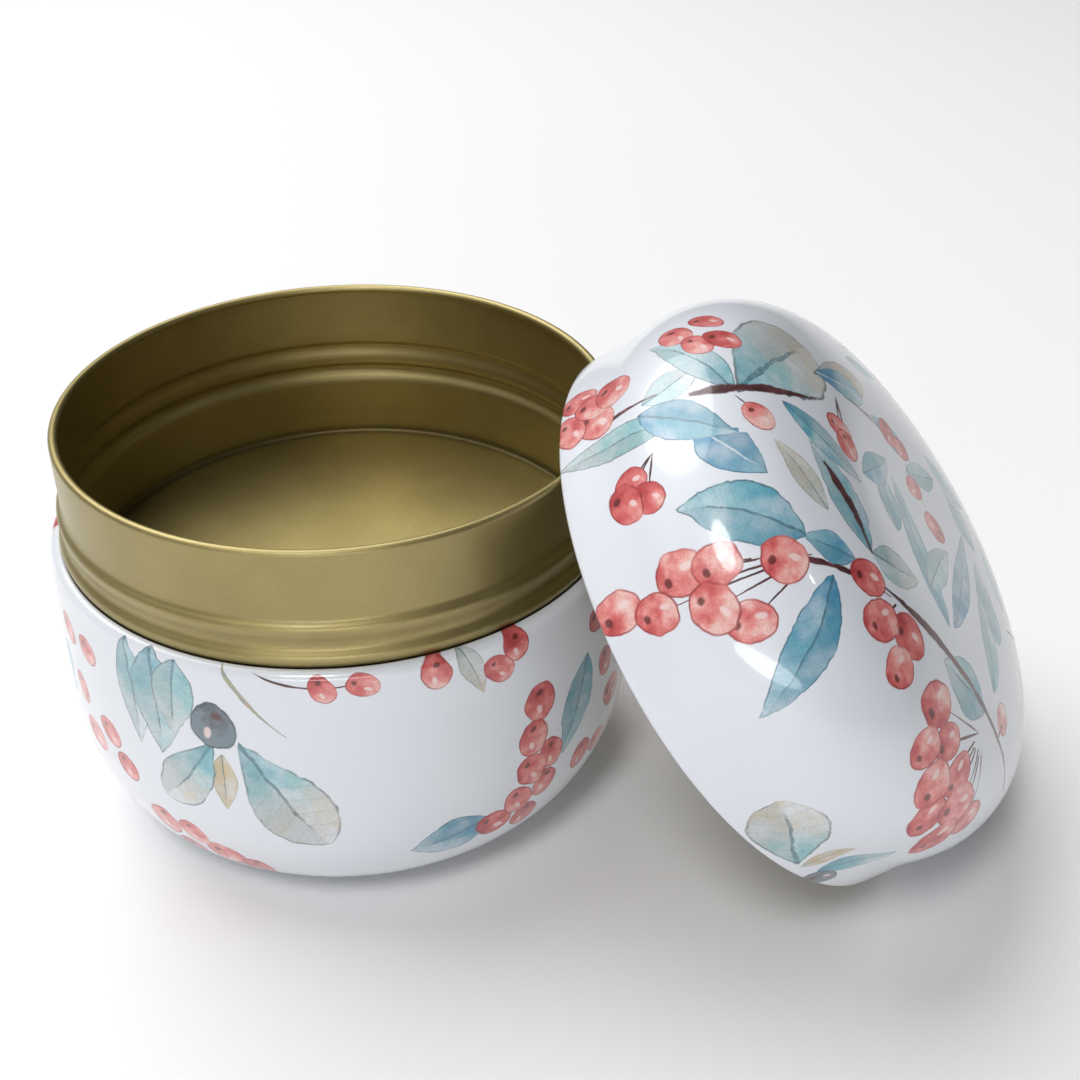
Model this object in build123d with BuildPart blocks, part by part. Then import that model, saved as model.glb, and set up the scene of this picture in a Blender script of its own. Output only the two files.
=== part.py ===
from build123d import *

import os
from math import asin, atan2, copysign, cos, degrees, hypot, radians, sin

# A round two-tone tin for tea, in millimetres, +Z up. The origin is the centre of the base's flat
# underside. The base is a drawn outer bowl with a drawn inner cup locked into its mouth; the cup's
# wall stands up out of the bowl as the neck that the lid slips over. The lid is off, and leans
# on the base with its mouth towards it.

# Sheet
tin_wall = 0.3

# Outer bowl
body_radius = 42.5
bowl_height = 45.3
foot_radius = 26.7
foot_turn = 67.0
belly_height = 21.4
belly_swell = 0.6
bowl_roll = 1.3
bowl_lip = 0.45
bowl_lip_turn = 75.0

# Inner cup and the neck that it forms above the bowl
neck_height = 16.9
neck_gap = 2.7
cup_depth = 27.8
cup_corner = 1.0
skirt_gap = 0.7
neck_curl = 0.65
bead_rise = 5.3
bead_depth = 0.8
bead_flank = 1.7
waist_rise = 2.9
waist_depth = 0.35
lock_rise = 1.0
lock_gap = 0.2
lock_drop = 2.6

# Lid
lid_height = 29.9
lid_crown_radius = 15.0
lid_crown_turn = 20.0
lid_shoulder = 17.6
lid_waist_rise = 7.0
lid_waist_depth = 0.3
lid_curl = 0.65
curl_turn = 250.0

# Where the lid leans
lean_angle = 38.85
lean_bearing = -10.8
lean_twist = -2.1
lean_gap = 0.3


def shoulder_radii(run, rise, turn):
    """Radii of two tangent arcs that take a level line through run and rise to a plumb one.

    The first arc turns by the angle given, in degrees, and the second by the rest of the quarter.
    run = first * sin(turn) + second * (1 - sin(turn))
    rise = first * (1 - cos(turn)) + second * cos(turn)
    """
    across = sin(radians(turn))
    along = cos(radians(turn))
    scale = across * along - (1 - across) * (1 - along)
    first = (run * along - rise * (1 - across)) / scale
    second = (rise * across - run * (1 - along)) / scale
    return first, second


def ogee(step, rise):
    """Two equal tangent arcs, as (radius, turn) moves, between plumb lines that lie a step apart.

    Each arc turns by 2 * atan(step / rise), and its radius is rise / (2 * sin(turn)).
    """
    turn = 2 * atan2(abs(step), abs(rise))
    radius = abs(rise) / (2 * sin(turn))
    swing = -copysign(degrees(turn), step * rise)
    return [(radius, swing), (radius, -swing)]


def draw_sheet(start, heading, moves, inset):
    """Draws the closed section of a thin sheet in the current line.

    A move is the length of a straight run, or the radius and turn of a tangent arc in degrees, left
    positive. They give the outer skin. The inner skin makes the same moves, set in to the left by
    inset, or to the right if it is negative, so its left-hand arcs are that much smaller.
    """
    ends = []
    for gap in (0, inset):
        way = Vector(1, 0).rotate(Axis.Z, heading)
        point = Vector(*start) + way.rotate(Axis.Z, 90) * gap
        ends.append(point)
        for move in moves:
            if isinstance(move, tuple):
                radius, turn = move
                edge = JernArc(point, way, radius - gap * copysign(1, turn), turn)
            else:
                edge = Line(point, point + way * move)
            point = edge @ 1
            way = edge % 1
        ends.append(point)
    Line(ends[0], ends[2])
    Line(ends[1], ends[3])


# Outer bowl: flat foot, wide lower shoulder, slightly swollen side, and an edge rolled inwards
# whose lip is closed on the inner cup.
belly_radius = body_radius + belly_swell
sole_arc, heel_arc = shoulder_radii(belly_radius - foot_radius, belly_height, foot_turn)
side_rise = bowl_height - bowl_roll - belly_height
side_reach = (side_rise**2 + belly_swell**2) / (2 * belly_swell)
side_arc = side_reach + bowl_roll
side_turn = degrees(asin(side_rise / side_reach))

bowl_moves = [
    foot_radius,
    (sole_arc, foot_turn),
    (heel_arc, 90 - foot_turn),
    (side_arc, side_turn),
    (bowl_roll, 90 - side_turn),
    (bowl_lip, bowl_lip_turn),
]

with BuildPart() as outer_bowl:
    with BuildSketch(Plane.XZ):
        with BuildLine():
            draw_sheet((0, 0), 0, bowl_moves, tin_wall)
        make_face()
    revolve(axis=Axis.Z)
outer_bowl.part.label = "outer_bowl"

# Inner cup: flat floor, plain skirt inside the bowl, a bulge that rests on the bowl's lip, a
# stiffening bead, and the neck with its edge curled inwards.
lip_radius = body_radius - bowl_roll - bowl_lip * sin(radians(bowl_lip_turn))
neck_top = bowl_height + neck_height
neck_radius = body_radius - neck_gap
floor_height = neck_top - cup_depth
skirt_radius = lip_radius - skirt_gap
skirt_height = bowl_height + lock_rise - lock_drop - floor_height + tin_wall
wall_height = neck_height - bead_rise - bead_flank - neck_curl
cup_moves = [
    skirt_radius - cup_corner,
    (cup_corner, 90),
    skirt_height - cup_corner,
    *ogee(lip_radius + lock_gap - skirt_radius, lock_drop),
    *ogee(neck_radius + waist_depth - lip_radius - lock_gap, waist_rise - lock_rise),
    *ogee(bead_depth - waist_depth, bead_rise - waist_rise),
    *ogee(-bead_depth, bead_flank),
    wall_height,
    (neck_curl, curl_turn),
]

with BuildPart() as inner_cup:
    with BuildSketch(Plane.XZ):
        with BuildLine():
            draw_sheet((0, floor_height - tin_wall), 0, cup_moves, tin_wall)
        make_face()
    revolve(axis=Axis.Z)
inner_cup.part.label = "inner_cup"


# Lid: the mouth's curled edge stands on the surface under the base and leans on the neck's edge.
curl_ring = body_radius - lid_curl
tilt_out = sin(radians(lean_angle))
tilt_up = cos(radians(lean_angle))


def gap_to_base(distance):
    """Smallest gap between the lid's curled edge and the base, with the curl's centre that far out."""
    gap = distance
    for degree in range(360):
        turn = radians(degree)
        out = distance * cos(radians(lean_twist)) - curl_ring * tilt_out * cos(turn)
        across = curl_ring * sin(turn) - distance * sin(radians(lean_twist))
        height = lid_curl + curl_ring * tilt_up * (1 + cos(turn))
        radius = hypot(out, across)
        past_neck = max(radius - neck_radius + neck_curl, 0)
        over_neck = max(height - neck_top + neck_curl, 0)
        past_bowl = max(radius - belly_radius + bowl_roll, 0)
        over_bowl = max(height - bowl_height + bowl_roll, 0)
        neck_reach = hypot(past_neck, over_neck) - neck_curl
        bowl_reach = hypot(past_bowl, over_bowl) - bowl_roll
        gap = min(gap, neck_reach - lid_curl, bowl_reach - lid_curl)
    return gap


touching = 0
lean_distance = 3 * body_radius
while lean_distance - touching > 0.001:
    middle = (touching + lean_distance) / 2
    if gap_to_base(middle) < lean_gap:
        touching = middle
    else:
        lean_distance = middle

outward = Vector(1, 0, 0).rotate(Axis.Z, lean_bearing)
heading = outward.rotate(Axis.Z, lean_twist)
sideways = heading.rotate(Axis.Z, 90)
lid_axis = heading * tilt_up + Vector(0, 0, tilt_out)
curl_centre = outward * lean_distance + Vector(0, 0, lid_curl + curl_ring * tilt_up)
mouth_centre = curl_centre - lid_axis * lid_curl
lid_section = Plane(origin=mouth_centre, x_dir=sideways, z_dir=sideways.cross(lid_axis))

shoulder_run = body_radius - lid_crown_radius
crown_arc, lid_arc = shoulder_radii(shoulder_run, lid_shoulder, lid_crown_turn)

lid_moves = [
    lid_crown_radius,
    (crown_arc, -lid_crown_turn),
    (lid_arc, lid_crown_turn - 90),
    *ogee(-lid_waist_depth, lid_shoulder + lid_waist_rise - lid_height),
    *ogee(lid_waist_depth, lid_curl - lid_waist_rise),
    (lid_curl, -curl_turn),
]

with BuildPart() as lid_shell:
    with BuildSketch(lid_section):
        with BuildLine():
            draw_sheet((0, lid_height), 0, lid_moves, -tin_wall)
        make_face()
    revolve(axis=Axis(mouth_centre, lid_axis))
lid_shell.part.label = "lid_shell"

os.makedirs("parts", exist_ok=True)
for piece in (outer_bowl, inner_cup, lid_shell):
    export_step(piece.part, f"parts/{piece.part.label}.step")
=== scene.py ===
# %% [markdown]
# # A printed tea tin with its lid off
#
# The tin is three drawn sheets: an outer bowl, an inner cup whose wall stands up out of it as the
# neck, and a lid that leans on the base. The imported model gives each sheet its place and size.
# Here each is made again as a smooth thin shell, and gets its enamel, its print and its lacquer.

import bpy
import numpy as np
from mathutils import Matrix, Vector


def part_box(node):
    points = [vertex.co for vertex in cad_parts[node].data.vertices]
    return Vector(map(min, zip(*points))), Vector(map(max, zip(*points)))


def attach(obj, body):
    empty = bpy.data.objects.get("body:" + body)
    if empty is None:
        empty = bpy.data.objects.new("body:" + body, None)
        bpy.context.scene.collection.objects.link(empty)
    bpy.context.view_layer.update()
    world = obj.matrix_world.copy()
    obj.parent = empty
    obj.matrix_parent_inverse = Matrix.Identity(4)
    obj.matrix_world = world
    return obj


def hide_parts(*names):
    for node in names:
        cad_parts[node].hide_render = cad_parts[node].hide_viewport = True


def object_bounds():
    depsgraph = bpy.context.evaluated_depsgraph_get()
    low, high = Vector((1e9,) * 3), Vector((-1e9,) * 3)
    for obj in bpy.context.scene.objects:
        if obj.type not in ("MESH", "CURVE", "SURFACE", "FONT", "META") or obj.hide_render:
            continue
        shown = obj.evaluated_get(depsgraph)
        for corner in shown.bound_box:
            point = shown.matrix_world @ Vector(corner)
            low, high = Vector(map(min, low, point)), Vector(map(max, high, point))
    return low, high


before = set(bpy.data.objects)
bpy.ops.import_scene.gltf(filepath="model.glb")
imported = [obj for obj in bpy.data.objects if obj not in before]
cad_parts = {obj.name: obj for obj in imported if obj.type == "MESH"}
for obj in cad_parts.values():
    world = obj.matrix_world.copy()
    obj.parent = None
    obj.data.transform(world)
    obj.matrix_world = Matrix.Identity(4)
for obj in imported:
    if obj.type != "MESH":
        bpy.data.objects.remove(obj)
MM = 0.001
cad_low, cad_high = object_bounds()
scene = bpy.context.scene
print("CAD box in mm", [round(v / MM, 1) for v in (*cad_low, *cad_high)])

# %% [markdown]
# ## The camera
#
# A tin on a table is seen from a little above. The camera looks along +Y and down at the middle of
# the tin and its lid, from near enough that the far rim looks smaller than the near one. It could
# be placed by hand, but a distance and two angles are easier to read and to change.

# %% Place the camera
VIEW_DISTANCE = 0.230
VIEW_DOWN = np.radians(33.61)
VIEW_ROLL = np.radians(-0.44)
FIELD = 1.3982                      # focal length over the sensor's width
AIM_DROP = 1.1 * MM                 # how far under the middle of the model the camera looks


def look_from(distance, down, roll):
    """Camera matrix at a distance from the middle of the model, tipped down and rolled."""
    middle = (Vector(cad_low) + Vector(cad_high)) / 2
    aim = Vector((middle.x, 0, middle.z - AIM_DROP))
    back = Vector((0, -np.cos(down), np.sin(down)))
    turn = back.to_track_quat("Z", "Y").to_matrix().to_4x4()
    return Matrix.Translation(aim + back * distance) @ turn @ Matrix.Rotation(roll, 4, "Z")


lens = bpy.data.cameras.new("view")
lens.sensor_width = 36
lens.lens = FIELD * lens.sensor_width
lens.clip_start = 0.01
camera = bpy.data.objects.new("view", lens)
camera.matrix_world = look_from(VIEW_DISTANCE, VIEW_DOWN, VIEW_ROLL)
scene.collection.objects.link(camera)
scene.camera = camera
print("camera at", [round(v / MM, 1) for v in camera.matrix_world.translation])

# %% [markdown]
# ## Floor and light
#
# Product pictures of glossy tins are taken under large soft lamps, so that the gloss shows as
# calm shapes. The key lamp hangs above and behind on the left, so the cup's floor is darker beside
# its left wall. A smaller lamp above and in front makes the stretched glint on the lid, and a wide
# card low in front lights the bulge inside the neck. The sky fills in the rest. An even sky would
# be simpler, but white enamel looks flat under it, so this one fades from left to right and the
# lid's crown shades off.

# %% Lay the floor
FLOOR_SIZE = 4.0                    # metres
PAPER_SHADE, PAPER_ROUGHNESS = 0.9, 0.9


def plain_surface(name, shade, roughness):
    """A matt material of one shade, for the stage only."""
    material = bpy.data.materials.new(name)
    material.use_nodes = True
    shader = material.node_tree.nodes["Principled BSDF"]
    shader.inputs["Base Color"].default_value = (shade, shade, shade, 1)
    shader.inputs["Roughness"].default_value = roughness
    return material


def square(name, size):
    """A flat square face about the origin, facing up."""
    mesh = bpy.data.meshes.new(name)
    half = size / 2
    corners = [(-half, -half, 0), (half, -half, 0), (half, half, 0), (-half, half, 0)]
    mesh.from_pydata(corners, [], [(0, 1, 2, 3)])
    return bpy.data.objects.new(name, mesh)


table_top = square("table_top", FLOOR_SIZE)
table_top.data.materials.append(plain_surface("pale_paper", PAPER_SHADE, PAPER_ROUGHNESS))
scene.collection.objects.link(table_top)
print("floor", FLOOR_SIZE, "m across")

# %% Hang the lamps
LAMPS = {                           # place, size across and along, watts
    "long_lamp": ((-0.15, -0.53, 0.85), (0.26, 0.34), 3.1),
    "side_lamp": ((0.85, -0.20, 0.66), (0.04, 0.04), 0.15),
    "key_lamp": ((-0.36, 0.44, 0.98), (1.20, 1.10), 12.0),
    "left_card": ((-0.85, -0.35, 0.55), (0.60, 0.60), 0.2),
    "front_card": ((-0.04, -0.95, 0.24), (0.70, 0.18), 2.3),
}


def hang_lamp(name, place, size, watts):
    """An oval lamp that faces the middle of the model, its length up and down."""
    lamp = bpy.data.lights.new(name, "AREA")
    lamp.shape = "ELLIPSE"
    lamp.size, lamp.size_y = size
    lamp.energy = watts
    hung = bpy.data.objects.new(name, lamp)
    middle = (Vector(cad_low) + Vector(cad_high)) / 2
    aim = (Vector(place) - middle).to_track_quat("Z", "Y").to_matrix().to_4x4()
    hung.matrix_world = Matrix.Translation(place) @ aim
    scene.collection.objects.link(hung)


for name, (place, size, watts) in LAMPS.items():
    hang_lamp(name, place, size, watts)
print(len(LAMPS), "lamps")

# %% Hang the sky
SKY_LEFT, SKY_RIGHT = 0.27, 0.02    # its strength on the two sides
SKY_EDGE = 0.6                      # how far to a side the fade goes, where 1 is straight sideways


def fading_sky(name):
    """A white sky whose strength runs evenly from its left value to its right one."""
    world = bpy.data.worlds.new(name)
    world.use_nodes = True
    tree = world.node_tree
    ways = tree.nodes.new("ShaderNodeSeparateXYZ")
    fade = tree.nodes.new("ShaderNodeMapRange")
    fade.inputs["From Min"].default_value = -SKY_EDGE
    fade.inputs["From Max"].default_value = SKY_EDGE
    fade.inputs["To Min"].default_value = SKY_LEFT
    fade.inputs["To Max"].default_value = SKY_RIGHT
    tree.links.new(tree.nodes.new("ShaderNodeTexCoord").outputs["Generated"], ways.inputs[0])
    tree.links.new(ways.outputs["X"], fade.inputs["Value"])
    tree.nodes["Background"].inputs["Color"].default_value = (1, 1, 1, 1)
    tree.links.new(fade.outputs["Result"], tree.nodes["Background"].inputs["Strength"])
    return world


scene.world = fading_sky("fading_sky")
scene.view_settings.view_transform = "Standard"
print("sky from", SKY_LEFT, "to", SKY_RIGHT)

# %% [markdown]
# ## Drawing a section
#
# Every piece of this tin is round, so its shape is one line, the section of its outer skin from the
# axis to the rim. A press tool's profile is straight runs and arcs that meet smoothly, and the line
# is drawn the same way, by a pen that knows where it is and which way it points. Points could be
# typed in by hand, but arcs keep the true radii.

# %% The pen
STEP = 0.8                          # mm between points on long runs
FINE_TURN = 12.0                    # degrees between points on tight arcs


def pen_down(radius, height, heading):
    """A new section: its points so far, in mm from the axis and up, and its heading in degrees."""
    return np.array([[radius, height]], float), heading


def straight(section, length):
    """Carries a section on in its own direction, in equal steps."""
    points, heading = section
    steps = np.linspace(0, length, 1 + int(np.ceil(length / STEP)))[1:, None]
    way = np.array([np.cos(np.radians(heading)), np.sin(np.radians(heading))])
    return np.vstack([points, points[-1] + steps * way]), heading


def arc(section, radius, turn):
    """Carries a section on round a circle, turning left by so many degrees, or right if negative.

    The centre is one radius to the side, and each point is the centre plus that radius turned.
    """
    points, heading = section
    count = max(np.ceil(abs(turn) / FINE_TURN), np.ceil(abs(np.radians(turn)) * radius / STEP))
    side = np.sign(turn)
    angles = np.radians(heading - side * 90 + np.linspace(0, turn, 1 + int(count)))
    spokes = radius * np.column_stack([np.cos(angles), np.sin(angles)])
    return np.vstack([points, points[-1] - spokes[0] + spokes[1:]]), heading + turn


def ogee(section, end):
    """Two equal arcs, the second turning back, from one plumb line to the point end on another."""
    points, heading = section
    step = end[0] - points[-1, 0]
    rise = end[1] - points[-1, 1]
    turn = 2 * np.arctan2(abs(step), abs(rise))
    radius = abs(rise) / (2 * np.sin(turn))
    swing = -np.sign(step * rise) * np.degrees(turn)
    return arc(arc(section, radius, swing), radius, -swing)


def shoulder(run, rise, turn):
    """Radii of two arcs that take a level line to a plumb one through run and rise.

    run = first * sin(turn) + second * (1 - sin(turn))
    rise = first * (1 - cos(turn)) + second * cos(turn)
    """
    across, along = np.sin(np.radians(turn)), np.cos(np.radians(turn))
    return np.linalg.solve([[across, 1 - across], [1 - along, along]], [run, rise])


# %% [markdown]
# ## The outer bowl's section
#
# The bowl stands on a flat foot, rounds out through a wide shoulder, swells a little and is rolled
# in at its edge, where its lip closes on the inner cup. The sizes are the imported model's own, and a
# test below compares the finished shell with it.

# %% Draw the bowl
WALL = 0.3
BODY_RADIUS = 42.5
BOWL_HEIGHT = 45.3
FOOT_RADIUS, FOOT_TURN = 26.7, 67.0
BELLY_HEIGHT, BELLY_SWELL = 21.4, 0.6
BOWL_ROLL, BOWL_LIP, BOWL_LIP_TURN = 1.3, 0.45, 75.0


def bowl_section():
    """The bowl's outer skin, from the middle of its foot to its closed lip."""
    sole, heel = shoulder(BODY_RADIUS + BELLY_SWELL - FOOT_RADIUS, BELLY_HEIGHT, FOOT_TURN)
    rise = BOWL_HEIGHT - BOWL_ROLL - BELLY_HEIGHT
    reach = (rise**2 + BELLY_SWELL**2) / (2 * BELLY_SWELL)
    lean = np.degrees(np.arcsin(rise / reach))
    section = straight(pen_down(0, 0, 0), FOOT_RADIUS)
    section = arc(section, sole, FOOT_TURN)
    section = arc(section, heel, 90 - FOOT_TURN)
    section = arc(section, reach + BOWL_ROLL, lean)
    section = arc(section, BOWL_ROLL, 90 - lean)
    return arc(section, BOWL_LIP, BOWL_LIP_TURN)[0]


bowl_skin = bowl_section()
print("bowl section", len(bowl_skin), "points, highest", round(bowl_skin[:, 1].max(), 2))

# %% [markdown]
# ## The inner cup's section
#
# The cup is one drawn sheet. Its flat floor lies well above the bowl's foot, its skirt stands
# inside the bowl, a bulge rests on the bowl's lip, and above a stiffening bead the wall is the neck
# that the lid slips over. The neck's edge is curled inwards so that no raw edge is left.

# %% Draw the cup
NECK_HEIGHT, NECK_GAP, NECK_CURL = 16.9, 2.7, 0.65
CUP_DEPTH, CUP_CORNER, SKIRT_GAP = 27.8, 1.0, 0.7
BEAD_RISE, BEAD_DEPTH, BEAD_FLANK = 5.3, 0.8, 1.7
WAIST_RISE, WAIST_DEPTH = 2.9, 0.35
LOCK_RISE, LOCK_GAP, LOCK_DROP = 1.0, 0.2, 2.6
CURL_TURN = 250.0


def cup_section():
    """The cup's outer skin, from the middle of its floor's underside to the end of its curl."""
    lip = BODY_RADIUS - BOWL_ROLL - BOWL_LIP * np.sin(np.radians(BOWL_LIP_TURN))
    neck = BODY_RADIUS - NECK_GAP
    top = BOWL_HEIGHT + NECK_HEIGHT
    under = top - CUP_DEPTH - WALL
    skirt_top = BOWL_HEIGHT + LOCK_RISE - LOCK_DROP
    section = straight(pen_down(0, under, 0), lip - SKIRT_GAP - CUP_CORNER)
    section = arc(section, CUP_CORNER, 90)
    section = straight(section, skirt_top - under - CUP_CORNER)
    section = ogee(section, (lip + LOCK_GAP, BOWL_HEIGHT + LOCK_RISE))
    section = ogee(section, (neck + WAIST_DEPTH, BOWL_HEIGHT + WAIST_RISE))
    section = ogee(section, (neck + BEAD_DEPTH, BOWL_HEIGHT + BEAD_RISE))
    section = ogee(section, (neck, BOWL_HEIGHT + BEAD_RISE + BEAD_FLANK))
    section = straight(section, top - NECK_CURL - section[0][-1, 1])
    return arc(section, NECK_CURL, CURL_TURN)[0]


cup_skin = cup_section()
print("cup section", len(cup_skin), "points, highest", round(cup_skin[:, 1].max(), 2))

# %% [markdown]
# ## The lid's section
#
# The lid is drawn here standing on its mouth: a slightly domed crown, a round shoulder, a side with
# the faintest waist, and a curl at the mouth. It starts at the middle of the crown, so that every
# section runs from the axis to the rim.

# %% Draw the lid
LID_HEIGHT, LID_CROWN, LID_CROWN_TURN = 29.9, 15.0, 20.0
LID_SHOULDER = 17.6
LID_WAIST_RISE, LID_WAIST_DEPTH, LID_CURL = 7.0, 0.3, 0.65


def lid_section():
    """The lid's outer skin, from the middle of its crown down to the end of its curl."""
    crown, side = shoulder(BODY_RADIUS - LID_CROWN, LID_SHOULDER, LID_CROWN_TURN)
    section = straight(pen_down(0, LID_HEIGHT, 0), LID_CROWN)
    section = arc(section, crown, -LID_CROWN_TURN)
    section = arc(section, side, LID_CROWN_TURN - 90)
    section = ogee(section, (BODY_RADIUS - LID_WAIST_DEPTH, LID_WAIST_RISE))
    section = ogee(section, (BODY_RADIUS, LID_CURL))
    return arc(section, LID_CURL, -CURL_TURN)[0]


lid_skin = lid_section()
print("lid section", len(lid_skin), "points, lowest", round(lid_skin[:, 1].min(), 2))

# %% [markdown]
# ## From a section to a thin shell
#
# Sheet has two sides. The inner skin is the outer one moved inwards by the wall, and the two are
# joined round the raw edge, so the shell is closed. A Solidify modifier could do this, but here the
# inside also gets its own lacquer, and it is easy to tell the sides apart while they are rows of a
# grid. The grid has one row for each point of the section and one column for each step of the turn.

# %% The shell
COLUMNS = 340


def offset(skin, wall):
    """The skin moved sideways by the wall: each point goes along the normal of its neighbours' chord."""
    chord = np.gradient(skin, axis=0)
    chord /= np.linalg.norm(chord, axis=1)[:, None]
    moved = skin + wall * np.column_stack([-chord[:, 1], chord[:, 0]])
    moved[0, 0] = 0
    return moved


def spin(loop):
    """Vertices and faces of a closed section turned about the axis.

    A point at radius r and height h becomes (r cos a, r sin a, h) for every angle a. The first and
    last points lie on the axis and stay single, with a fan of triangles round each.
    """
    angle = np.linspace(0, 2 * np.pi, COLUMNS, endpoint=False)
    ring = loop[1:-1]
    rings = np.stack([np.outer(ring[:, 0], np.cos(angle)), np.outer(ring[:, 0], np.sin(angle)),
                      np.repeat(ring[:, 1:], COLUMNS, axis=1)], axis=-1)
    places = np.vstack([[0, 0, loop[0, 1]], rings.reshape(-1, 3), [0, 0, loop[-1, 1]]])
    index = 1 + np.arange(len(ring) * COLUMNS).reshape(len(ring), COLUMNS)
    after = np.roll(index, -1, axis=1)
    quads = np.stack([index[:-1], after[:-1], after[1:], index[1:]], axis=-1).reshape(-1, 4)
    first = np.column_stack([np.zeros(COLUMNS, int), after[0], index[0]])
    last = np.column_stack([np.full(COLUMNS, len(places) - 1), index[-1], after[-1]])
    return places, quads, first, last


def volume_of(places, quads):
    """Signed volume under the quads, which is positive when they face outwards."""
    a, b, c, d = (places[quads[:, k]] for k in range(4))
    return np.sum(np.cross(b - a, c - a) * a + np.cross(c - a, d - a) * a) / 6


class Shell:
    """A thin round sheet in millimetres, upright: its outer skin, its vertices and its faces."""

    def __init__(self, name, skin, inward):
        self.name = name
        self.skin = skin
        loop = np.vstack([skin, offset(skin, WALL * inward)[::-1]])
        self.places, self.quads, first, last = spin(loop)
        if volume_of(self.places, self.quads) < 0:
            self.quads, first, last = self.quads[:, ::-1], first[:, ::-1], last[:, ::-1]
        self.fans = np.vstack([first, last])
        self.outer_quads = (len(skin) - 2) * COLUMNS
        self.charts = {}


bowl = Shell("bowl_tin", bowl_skin, 1)
cup = Shell("cup_tin", cup_skin, 1)
lid = Shell("lid_tin", lid_skin, -1)
for shell in (bowl, cup, lid):
    print(shell.name, len(shell.places), "points,", 2 * len(shell.quads) + len(shell.fans), "triangles")

# %% [markdown]
# ## Where the lid leans
#
# The lid rests on the table by one side of its mouth and leans on the neck. Its axis points up and
# away from the base by the lean, and a little towards the front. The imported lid's box says where
# the leaning lid lies, so the turned shell is moved until the middles of the two boxes agree.

# %% Lean the lid
LID_LEAN = np.radians(38.85)
LID_BEARING = np.radians(-12.9)


def lean(shell, up, bearing):
    """Turns an upright shell so that its axis rises by the lean angle towards the bearing.

    Its first direction becomes the steepest way up in the plane of the mouth.
    """
    axis = np.array([np.cos(up) * np.cos(bearing), np.cos(up) * np.sin(bearing), np.sin(up)])
    level = np.array([-np.sin(bearing), np.cos(bearing), 0])
    uphill = np.cross(level, axis) * -1
    turned = np.column_stack([uphill, np.cross(axis, uphill), axis])
    return shell.places @ turned.T


def moved_into(places, node):
    """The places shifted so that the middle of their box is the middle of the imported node's box."""
    low, high = (np.array(corner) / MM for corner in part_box(node))
    print(node, "box sizes differ by", np.round(np.ptp(places, axis=0) - (high - low), 3), "mm")
    return places + (low + high) / 2 - (places.min(axis=0) + places.max(axis=0)) / 2


lid_places = moved_into(lean(lid, LID_LEAN, LID_BEARING), "lid_shell")
bowl_places = moved_into(bowl.places, "outer_bowl")
cup_places = moved_into(cup.places, "inner_cup")

# %% [markdown]
# ## A brush that walks on the skin
#
# The print is a loose watercolour of berry twigs. Flat artwork would have to be an image, so each
# stroke is laid on the tin itself. A stroke starts at a turn about the axis and a distance in from
# the rim, and walks: a short step straight ahead, back down onto the skin, and a small turn to the
# side. That gives every leaf and twig a curved middle line that lies on the shell.

# %% The brush
REACH = 1.0                         # mm in one step of the brush


def along_from_rim(skin):
    """Length of the skin's line between each of its points and its highest or lowest edge ring."""
    length = np.r_[0, np.cumsum(np.linalg.norm(np.diff(skin, axis=0), axis=1))]
    rim = np.argmax(skin[:, 1]) if skin[0, 1] < 1 else np.argmin(skin[:, 1])
    return length[rim] - length


def on_skin(shell, point):
    """The nearest point of the shell's outer skin, and the two directions along and round it there."""
    radius = np.hypot(point[0], point[1])
    skin = shell.skin
    gaps = np.diff(skin, axis=0)
    share = np.sum((np.array([radius, point[2]]) - skin[:-1]) * gaps, axis=1) / np.sum(gaps**2, axis=1)
    feet = skin[:-1] + np.clip(share, 0, 1)[:, None] * gaps
    nearest = np.argmin(np.linalg.norm(feet - [radius, point[2]], axis=1))
    outward = np.array([point[0], point[1], 0]) / max(radius, 1e-6)
    way = -gaps[nearest] / np.linalg.norm(gaps[nearest])
    inwards = outward * way[0] + np.array([0, 0, way[1]])
    round_way = np.array([-outward[1], outward[0], 0])
    return outward * feet[nearest, 0] + np.array([0, 0, feet[nearest, 1]]), inwards, round_way


def start_at(shell, turn, depth):
    """The point of the outer skin at a turn in degrees and a distance in mm from the rim."""
    depths = along_from_rim(shell.skin)
    radius = np.interp(-depth, -depths, shell.skin[:, 0])
    height = np.interp(-depth, -depths, shell.skin[:, 1])
    angle = np.radians(turn)
    return np.array([radius * np.cos(angle), radius * np.sin(angle), height])


def walk(shell, start, heading, length, bend=0.0):
    """Middle line of a stroke and the sideways direction at each of its points.

    Heading 0 goes round the tin and 90 goes in from the rim. Each step turns by its share of bend.
    """
    point, inwards, round_way = on_skin(shell, np.array(start, float))
    angle = np.radians(heading)
    way = np.cos(angle) * round_way + np.sin(angle) * inwards
    count = max(4, int(round(length / REACH)))
    line, sides = [], []
    for _ in range(count + 1):
        normal = np.cross(round_way, inwards)
        way = way - normal * (way @ normal)
        way /= np.linalg.norm(way)
        side = np.cross(normal, way)
        line.append(point)
        sides.append(side)
        swing = np.radians(bend) / count
        point, inwards, round_way = on_skin(shell, point + way * length / count)
        way = way * np.cos(swing) + side * np.sin(swing)
    return np.array(line), np.array(sides)


print("lid skin is", round(along_from_rim(lid_skin)[0], 1), "mm from crown to mouth")

# %% [markdown]
# ## Charts for the strokes
#
# A material can't look up a middle line, but it can read numbers kept at the corners of faces. So
# each stroke writes a chart onto the faces near it: how far along the stroke the corner is, how far
# across in half widths, and a tone. Strokes that would share faces go to different layers.

# %% Follow a line
FAR_OFF = 9.0                       # a place along a stroke that no stroke reaches
RUN_ON = 2                          # steps by which a line is carried on past its ends


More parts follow.
